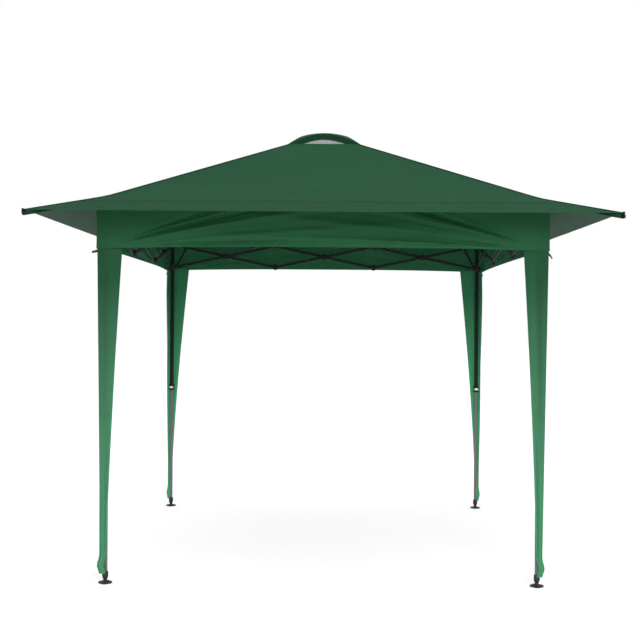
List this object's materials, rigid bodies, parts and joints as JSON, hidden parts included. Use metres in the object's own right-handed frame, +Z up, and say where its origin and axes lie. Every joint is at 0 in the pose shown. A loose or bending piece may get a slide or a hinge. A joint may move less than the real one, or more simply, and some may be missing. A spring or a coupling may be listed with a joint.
{
  "type": "pop-up gazebo",
  "caption": "Square pop-up gazebo: folding scissor-truss steel frame, telescoping legs, fabric roof with wide eaves, arched vent cap, valance and tapering leg curtains.",
  "frame": {"origin": "middle of the footprint, on the ground under the feet", "axes": "+Z up, front faces -Y, +X to the right seen from the front"},
  "size_m": [3.3804, 3.3804, 2.915],
  "materials": {
    "frame_paint": "black satin paint",
    "leg_grey": "grey painted steel",
    "foot_plastic": "black moulded plastic",
    "button_steel": "satin steel",
    "bracket_plastic": "black moulded plastic",
    "canopy_fabric": "woven green fabric",
    "vent_net": "pale grey netting"
  },
  "bodies": {
    "leg_front_left": {"outer_leg_front_left": "frame_paint", "canopy": "canopy_fabric"},
    "leg_front_right": {"outer_leg_front_right": "frame_paint"},
    "leg_rear_right": {"outer_leg_rear_right": "frame_paint"},
    "leg_rear_left": {"outer_leg_rear_left": "frame_paint"},
    "inner_leg_front_left": {"inner_leg_front_left": "leg_grey", "foot_front_left": "foot_plastic"},
    "leg_button_front_left": {"leg_button_front_left": "button_steel"},
    "slider_front_left": {"slider_front_left": "bracket_plastic"},
    "rafter_outer_front_left": {"rafter_outer_front_left": "frame_paint"},
    "rafter_inner_front_left": {"rafter_inner_front_left": "frame_paint"},
    "strut_front_left": {"strut_front_left": "frame_paint"},
    "inner_leg_front_right": {"inner_leg_front_right": "leg_grey", "foot_front_right": "foot_plastic"},
    "leg_button_front_right": {"leg_button_front_right": "button_steel"},
    "slider_front_right": {"slider_front_right": "bracket_plastic"},
    "rafter_outer_front_right": {"rafter_outer_front_right": "frame_paint"},
    "rafter_inner_front_right": {"rafter_inner_front_right": "frame_paint"},
    "strut_front_right": {"strut_front_right": "frame_paint"},
    "inner_leg_rear_right": {"inner_leg_rear_right": "leg_grey", "foot_rear_right": "foot_plastic"},
    "leg_button_rear_right": {"leg_button_rear_right": "button_steel"},
    "slider_rear_right": {"slider_rear_right": "bracket_plastic"},
    "rafter_outer_rear_right": {"rafter_outer_rear_right": "frame_paint"},
    "rafter_inner_rear_right": {"rafter_inner_rear_right": "frame_paint"},
    "strut_rear_right": {"strut_rear_right": "frame_paint"},
    "inner_leg_rear_left": {"inner_leg_rear_left": "leg_grey", "foot_rear_left": "foot_plastic"},
    "leg_button_rear_left": {"leg_button_rear_left": "button_steel"},
    "slider_rear_left": {"slider_rear_left": "bracket_plastic"},
    "rafter_outer_rear_left": {"rafter_outer_rear_left": "frame_paint"},
    "rafter_inner_rear_left": {"rafter_inner_rear_left": "frame_paint"},
    "strut_rear_left": {"strut_rear_left": "frame_paint"},
    "scissor_front_rising_1": {"scissor_front_rising_1": "frame_paint"},
    "scissor_front_falling_1": {"scissor_front_falling_1": "frame_paint"},
    "scissor_front_rising_2": {"scissor_front_rising_2": "frame_paint"},
    "scissor_front_falling_2": {"scissor_front_falling_2": "frame_paint"},
    "scissor_front_rising_3": {"scissor_front_rising_3": "frame_paint"},
    "scissor_front_falling_3": {"scissor_front_falling_3": "frame_paint"},
    "scissor_right_rising_1": {"scissor_right_rising_1": "frame_paint"},
    "scissor_right_falling_1": {"scissor_right_falling_1": "frame_paint"},
    "scissor_right_rising_2": {"scissor_right_rising_2": "frame_paint"},
    "scissor_right_falling_2": {"scissor_right_falling_2": "frame_paint"},
    "scissor_right_rising_3": {"scissor_right_rising_3": "frame_paint"},
    "scissor_right_falling_3": {"scissor_right_falling_3": "frame_paint"},
    "scissor_rear_rising_1": {"scissor_rear_rising_1": "frame_paint"},
    "scissor_rear_falling_1": {"scissor_rear_falling_1": "frame_paint"},
    "scissor_rear_rising_2": {"scissor_rear_rising_2": "frame_paint"},
    "scissor_rear_falling_2": {"scissor_rear_falling_2": "frame_paint"},
    "scissor_rear_rising_3": {"scissor_rear_rising_3": "frame_paint"},
    "scissor_rear_falling_3": {"scissor_rear_falling_3": "frame_paint"},
    "scissor_left_rising_1": {"scissor_left_rising_1": "frame_paint"},
    "scissor_left_falling_1": {"scissor_left_falling_1": "frame_paint"},
    "scissor_left_rising_2": {"scissor_left_rising_2": "frame_paint"},
    "scissor_left_falling_2": {"scissor_left_falling_2": "frame_paint"},
    "scissor_left_rising_3": {"scissor_left_rising_3": "frame_paint"},
    "scissor_left_falling_3": {"scissor_left_falling_3": "frame_paint"},
    "hub": {"hub": "bracket_plastic", "vent_cap": "canopy_fabric", "vent_mesh": "vent_net"}
  },
  "joints": [
    {"name": "frame_fold", "type": "hinge", "parent": "leg_front_left", "child": "rafter_outer_front_left", "pos_m": [-1.24964, -1.24964, 2.29901], "axis": [-0.7071, 0.7071, 0], "range_deg": [0, 104.48], "deforming": ["canopy", "vent_cap", "vent_mesh"]},
    {"name": "knee_front_left", "type": "hinge", "parent": "rafter_outer_front_left", "child": "rafter_inner_front_left", "pos_m": [-0.63896, -0.63896, 2.58758], "axis": [-0.7071, 0.7071, 0], "range_deg": [-174.7, 0.5]},
    {"name": "hub_front_left", "type": "hinge", "parent": "rafter_inner_front_left", "child": "hub", "pos_m": [-0.02828, -0.02828, 2.87615], "axis": [-0.7071, 0.7071, 0], "range_deg": [-0.5, 70.22]},
    {"name": "hub_front_right", "type": "hinge", "parent": "hub", "child": "rafter_inner_front_right", "pos_m": [0.02828, -0.02828, 2.87615], "axis": [-0.7071, -0.7071, 0], "range_deg": [-70.22, 0.5]},
    {"name": "knee_front_right", "type": "hinge", "parent": "rafter_inner_front_right", "child": "rafter_outer_front_right", "pos_m": [0.63896, -0.63896, 2.58758], "axis": [-0.7071, -0.7071, 0], "range_deg": [-0.5, 174.7]},
    {"name": "corner_front_right", "type": "hinge", "parent": "rafter_outer_front_right", "child": "leg_front_right", "pos_m": [1.24964, -1.24964, 2.29901], "axis": [-0.7071, -0.7071, 0], "range_deg": [-104.98, 0.5]},
    {"name": "hub_rear_right", "type": "hinge", "parent": "hub", "child": "rafter_inner_rear_right", "pos_m": [0.02828, 0.02828, 2.87615], "axis": [0.7071, -0.7071, 0], "range_deg": [-70.22, 0.5]},
    {"name": "knee_rear_right", "type": "hinge", "parent": "rafter_inner_rear_right", "child": "rafter_outer_rear_right", "pos_m": [0.63896, 0.63896, 2.58758], "axis": [0.7071, -0.7071, 0], "range_deg": [-0.5, 174.7]},
    {"name": "corner_rear_right", "type": "hinge", "parent": "rafter_outer_rear_right", "child": "leg_rear_right", "pos_m": [1.24964, 1.24964, 2.29901], "axis": [0.7071, -0.7071, 0], "range_deg": [-104.98, 0.5]},
    {"name": "hub_rear_left", "type": "hinge", "parent": "hub", "child": "rafter_inner_rear_left", "pos_m": [-0.02828, 0.02828, 2.87615], "axis": [0.7071, 0.7071, 0], "range_deg": [-70.22, 0.5]},
    {"name": "knee_rear_left", "type": "hinge", "parent": "rafter_inner_rear_left", "child": "rafter_outer_rear_left", "pos_m": [-0.63896, 0.63896, 2.58758], "axis": [0.7071, 0.7071, 0], "range_deg": [-0.5, 174.7]},
    {"name": "corner_rear_left", "type": "hinge", "parent": "rafter_outer_rear_left", "child": "leg_rear_left", "pos_m": [-1.24964, 1.24964, 2.29901], "axis": [0.7071, 0.7071, 0], "range_deg": [-104.98, 0.5]},
    {"name": "front_post_pivot_1", "type": "hinge", "parent": "leg_front_left", "child": "scissor_front_falling_1", "pos_m": [-1.245, -1.285, 2.2], "axis": [0, 1, 0], "range_deg": [-0.5, 74.4]},
    {"name": "front_crossing_1", "type": "hinge", "parent": "scissor_front_falling_1", "child": "scissor_front_rising_1", "pos_m": [-0.83, -1.285, 2.11103], "axis": [0, 1, 0], "range_deg": [-148.3, 0.5]},
    {"name": "slider_pivot_front_left", "type": "hinge", "parent": "scissor_front_rising_1", "child": "slider_front_left", "pos_m": [-1.245, -1.285, 2.02206], "axis": [0, 1, 0], "range_deg": [-0.5, 74.4]},
    {"name": "front_upper_pivot", "type": "hinge", "parent": "scissor_front_rising_1", "child": "scissor_front_falling_2", "pos_m": [-0.415, -1.285, 2.2], "axis": [0, 1, 0], "range_deg": [-0.5, 148.3]},
    {"name": "front_lower_pivot", "type": "hinge", "parent": "scissor_front_falling_1", "child": "scissor_front_rising_2", "pos_m": [-0.415, -1.285, 2.02206], "axis": [0, 1, 0], "range_deg": [-148.3, 0.5]},
    {"name": "front_post_pivot_2", "type": "hinge", "parent": "leg_front_right", "child": "scissor_front_rising_3", "pos_m": [1.245, -1.285, 2.2], "axis": [0, 1, 0], "range_deg": [-74.4, 0.5]},
    {"name": "front_crossing_3", "type": "hinge", "parent": "scissor_front_rising_3", "child": "scissor_front_falling_3", "pos_m": [0.83, -1.285, 2.11103], "axis": [0, 1, 0], "range_deg": [-0.5, 148.3]},
    {"name": "right_post_pivot_1", "type": "hinge", "parent": "leg_front_right", "child": "scissor_right_falling_1", "pos_m": [1.285, -1.245, 2.2], "axis": [-1, 0, 0], "range_deg": [-0.5, 74.4]},
    {"name": "right_crossing_1", "type": "hinge", "parent": "scissor_right_falling_1", "child": "scissor_right_rising_1", "pos_m": [1.285, -0.83, 2.11103], "axis": [-1, 0, 0], "range_deg": [-148.3, 0.5]},
    {"name": "slider_pivot_front_right", "type": "hinge", "parent": "scissor_right_rising_1", "child": "slider_front_right", "pos_m": [1.285, -1.245, 2.02206], "axis": [-1, 0, 0], "range_deg": [-0.5, 74.4]},
    {"name": "right_upper_pivot", "type": "hinge", "parent": "scissor_right_rising_1", "child": "scissor_right_falling_2", "pos_m": [1.285, -0.415, 2.2], "axis": [-1, 0, 0], "range_deg": [-0.5, 148.3]},
    {"name": "right_lower_pivot", "type": "hinge", "parent": "scissor_right_falling_1", "child": "scissor_right_rising_2", "pos_m": [1.285, -0.415, 2.02206], "axis": [-1, 0, 0], "range_deg": [-148.3, 0.5]},
    {"name": "right_post_pivot_2", "type": "hinge", "parent": "leg_rear_right", "child": "scissor_right_rising_3", "pos_m": [1.285, 1.245, 2.2], "axis": [-1, 0, 0], "range_deg": [-74.4, 0.5]},
    {"name": "right_crossing_3", "type": "hinge", "parent": "scissor_right_rising_3", "child": "scissor_right_falling_3", "pos_m": [1.285, 0.83, 2.11103], "axis": [-1, 0, 0], "range_deg": [-0.5, 148.3]},
    {"name": "rear_post_pivot_1", "type": "hinge", "parent": "leg_rear_right", "child": "scissor_rear_falling_1", "pos_m": [1.245, 1.285, 2.2], "axis": [0, -1, 0], "range_deg": [-0.5, 74.4]},
    {"name": "rear_crossing_1", "type": "hinge", "parent": "scissor_rear_falling_1", "child": "scissor_rear_rising_1", "pos_m": [0.83, 1.285, 2.11103], "axis": [0, -1, 0], "range_deg": [-148.3, 0.5]},
    {"name": "slider_pivot_rear_right", "type": "hinge", "parent": "scissor_rear_rising_1", "child": "slider_rear_right", "pos_m": [1.245, 1.285, 2.02206], "axis": [0, -1, 0], "range_deg": [-0.5, 74.4]},
    {"name": "rear_upper_pivot", "type": "hinge", "parent": "scissor_rear_rising_1", "child": "scissor_rear_falling_2", "pos_m": [0.415, 1.285, 2.2], "axis": [0, -1, 0], "range_deg": [-0.5, 148.3]},
    {"name": "rear_lower_pivot", "type": "hinge", "parent": "scissor_rear_falling_1", "child": "scissor_rear_rising_2", "pos_m": [0.415, 1.285, 2.02206], "axis": [0, -1, 0], "range_deg": [-148.3, 0.5]},
    {"name": "rear_post_pivot_2", "type": "hinge", "parent": "leg_rear_left", "child": "scissor_rear_rising_3", "pos_m": [-1.245, 1.285, 2.2], "axis": [0, -1, 0], "range_deg": [-74.4, 0.5]},
    {"name": "rear_crossing_3", "type": "hinge", "parent": "scissor_rear_rising_3", "child": "scissor_rear_falling_3", "pos_m": [-0.83, 1.285, 2.11103], "axis": [0, -1, 0], "range_deg": [-0.5, 148.3]},
    {"name": "left_post_pivot_1", "type": "hinge", "parent": "leg_rear_left", "child": "scissor_left_falling_1", "pos_m": [-1.285, 1.245, 2.2], "axis": [1, 0, 0], "range_deg": [-0.5, 74.4]},
    {"name": "left_crossing_1", "type": "hinge", "parent": "scissor_left_falling_1", "child": "scissor_left_rising_1", "pos_m": [-1.285, 0.83, 2.11103], "axis": [1, 0, 0], "range_deg": [-148.3, 0.5]},
    {"name": "slider_pivot_rear_left", "type": "hinge", "parent": "scissor_left_rising_1", "child": "slider_rear_left", "pos_m": [-1.285, 1.245, 2.02206], "axis": [1, 0, 0], "range_deg": [-0.5, 74.4]},
    {"name": "left_upper_pivot", "type": "hinge", "parent": "scissor_left_rising_1", "child": "scissor_left_falling_2", "pos_m": [-1.285, 0.415, 2.2], "axis": [1, 0, 0], "range_deg": [-0.5, 148.3]},
    {"name": "left_lower_pivot", "type": "hinge", "parent": "scissor_left_falling_1", "child": "scissor_left_rising_2", "pos_m": [-1.285, 0.415, 2.02206], "axis": [1, 0, 0], "range_deg": [-148.3, 0.5]},
    {"name": "left_post_pivot_2", "type": "hinge", "parent": "leg_front_left", "child": "scissor_left_rising_3", "pos_m": [-1.285, -1.245, 2.2], "axis": [1, 0, 0], "range_deg": [-74.4, 0.5]},
    {"name": "left_crossing_3", "type": "hinge", "parent": "scissor_left_rising_3", "child": "scissor_left_falling_3", "pos_m": [-1.285, -0.83, 2.11103], "axis": [1, 0, 0], "range_deg": [-0.5, 148.3]},
    {"name": "strut_pivot_front_left", "type": "hinge", "parent": "slider_front_left", "child": "strut_front_left", "pos_m": [-1.24964, -1.24964, 2.02206], "axis": [-0.7071, 0.7071, 0], "range_deg": [-40.67, 0.5]},
    {"name": "strut_pivot_front_right", "type": "hinge", "parent": "slider_front_right", "child": "strut_front_right", "pos_m": [1.24964, -1.24964, 2.02206], "axis": [-0.7071, -0.7071, 0], "range_deg": [-40.67, 0.5]},
    {"name": "strut_pivot_rear_right", "type": "hinge", "parent": "slider_rear_right", "child": "strut_rear_right", "pos_m": [1.24964, 1.24964, 2.02206], "axis": [0.7071, -0.7071, 0], "range_deg": [-40.67, 0.5]},
    {"name": "strut_pivot_rear_left", "type": "hinge", "parent": "slider_rear_left", "child": "strut_rear_left", "pos_m": [-1.24964, 1.24964, 2.02206], "axis": [0.7071, 0.7071, 0], "range_deg": [-40.67, 0.5]},
    {"name": "leg_slide_front_left", "type": "slide", "parent": "leg_front_left", "child": "inner_leg_front_left", "axis": [0, 0, 1], "range_m": [0, 0.88]},
    {"name": "leg_button_front_left", "type": "slide", "parent": "leg_front_left", "child": "leg_button_front_left", "axis": [0, -1, 0], "range_m": [0, 0.004], "stiffness_N_per_m": 600, "springref_m": -0.002},
    {"name": "leg_slide_front_right", "type": "slide", "parent": "leg_front_right", "child": "inner_leg_front_right", "axis": [0, 0, 1], "range_m": [0, 0.88]},
    {"name": "leg_button_front_right", "type": "slide", "parent": "leg_front_right", "child": "leg_button_front_right", "axis": [0, -1, 0], "range_m": [0, 0.004], "stiffness_N_per_m": 600, "springref_m": -0.002},
    {"name": "leg_slide_rear_right", "type": "slide", "parent": "leg_rear_right", "child": "inner_leg_rear_right", "axis": [0, 0, 1], "range_m": [0, 0.88]},
    {"name": "leg_button_rear_right", "type": "slide", "parent": "leg_rear_right", "child": "leg_button_rear_right", "axis": [0, 1, 0], "range_m": [0, 0.004], "stiffness_N_per_m": 600, "springref_m": -0.002},
    {"name": "leg_slide_rear_left", "type": "slide", "parent": "leg_rear_left", "child": "inner_leg_rear_left", "axis": [0, 0, 1], "range_m": [0, 0.88]},
    {"name": "leg_button_rear_left", "type": "slide", "parent": "leg_rear_left", "child": "leg_button_rear_left", "axis": [0, 1, 0], "range_m": [0, 0.004], "stiffness_N_per_m": 600, "springref_m": -0.002}
  ],
  "couplings": [
    {"joint": "knee_front_left", "follows": "frame_fold", "ratio": -1.6673},
    {"joint": "hub_front_left", "follows": "frame_fold", "ratio": 0.66733},
    {"joint": "hub_front_right", "follows": "frame_fold", "ratio": -0.66733},
    {"joint": "knee_front_right", "follows": "frame_fold", "ratio": 1.6673},
    {"joint": "corner_front_right", "follows": "frame_fold", "ratio": -1},
    {"joint": "hub_rear_right", "follows": "frame_fold", "ratio": -0.66733},
    {"joint": "knee_rear_right", "follows": "frame_fold", "ratio": 1.6673},
    {"joint": "corner_rear_right", "follows": "frame_fold", "ratio": -1},
    {"joint": "hub_rear_left", "follows": "frame_fold", "ratio": -0.66733},
    {"joint": "knee_rear_left", "follows": "frame_fold", "ratio": 1.6673},
    {"joint": "corner_rear_left", "follows": "frame_fold", "ratio": -1},
    {"joint": "front_post_pivot_1", "follows": "frame_fold", "ratio": 0.70734},
    {"joint": "front_crossing_1", "follows": "frame_fold", "ratio": -1.4147},
    {"joint": "slider_pivot_front_left", "follows": "frame_fold", "ratio": 0.70734},
    {"joint": "front_upper_pivot", "follows": "frame_fold", "ratio": 1.4147},
    {"joint": "front_lower_pivot", "follows": "frame_fold", "ratio": -1.4147},
    {"joint": "front_post_pivot_2", "follows": "frame_fold", "ratio": -0.70734},
    {"joint": "front_crossing_3", "follows": "frame_fold", "ratio": 1.4147},
    {"joint": "right_post_pivot_1", "follows": "frame_fold", "ratio": 0.70734},
    {"joint": "right_crossing_1", "follows": "frame_fold", "ratio": -1.4147},
    {"joint": "slider_pivot_front_right", "follows": "frame_fold", "ratio": 0.70734},
    {"joint": "right_upper_pivot", "follows": "frame_fold", "ratio": 1.4147},
    {"joint": "right_lower_pivot", "follows": "frame_fold", "ratio": -1.4147},
    {"joint": "right_post_pivot_2", "follows": "frame_fold", "ratio": -0.70734},
    {"joint": "right_crossing_3", "follows": "frame_fold", "ratio": 1.4147},
    {"joint": "rear_post_pivot_1", "follows": "frame_fold", "ratio": 0.70734},
    {"joint": "rear_crossing_1", "follows": "frame_fold", "ratio": -1.4147},
    {"joint": "slider_pivot_rear_right", "follows": "frame_fold", "ratio": 0.70734},
    {"joint": "rear_upper_pivot", "follows": "frame_fold", "ratio": 1.4147},
    {"joint": "rear_lower_pivot", "follows": "frame_fold", "ratio": -1.4147},
    {"joint": "rear_post_pivot_2", "follows": "frame_fold", "ratio": -0.70734},
    {"joint": "rear_crossing_3", "follows": "frame_fold", "ratio": 1.4147},
    {"joint": "left_post_pivot_1", "follows": "frame_fold", "ratio": 0.70734},
    {"joint": "left_crossing_1", "follows": "frame_fold", "ratio": -1.4147},
    {"joint": "slider_pivot_rear_left", "follows": "frame_fold", "ratio": 0.70734},
    {"joint": "left_upper_pivot", "follows": "frame_fold", "ratio": 1.4147},
    {"joint": "left_lower_pivot", "follows": "frame_fold", "ratio": -1.4147},
    {"joint": "left_post_pivot_2", "follows": "frame_fold", "ratio": -0.70734},
    {"joint": "left_crossing_3", "follows": "frame_fold", "ratio": 1.4147},
    {"joint": "strut_pivot_front_left", "follows": "frame_fold", "ratio": -0.3845},
    {"joint": "strut_pivot_front_right", "follows": "frame_fold", "ratio": -0.3845},
    {"joint": "strut_pivot_rear_right", "follows": "frame_fold", "ratio": -0.3845},
    {"joint": "strut_pivot_rear_left", "follows": "frame_fold", "ratio": -0.3845}
  ]
}
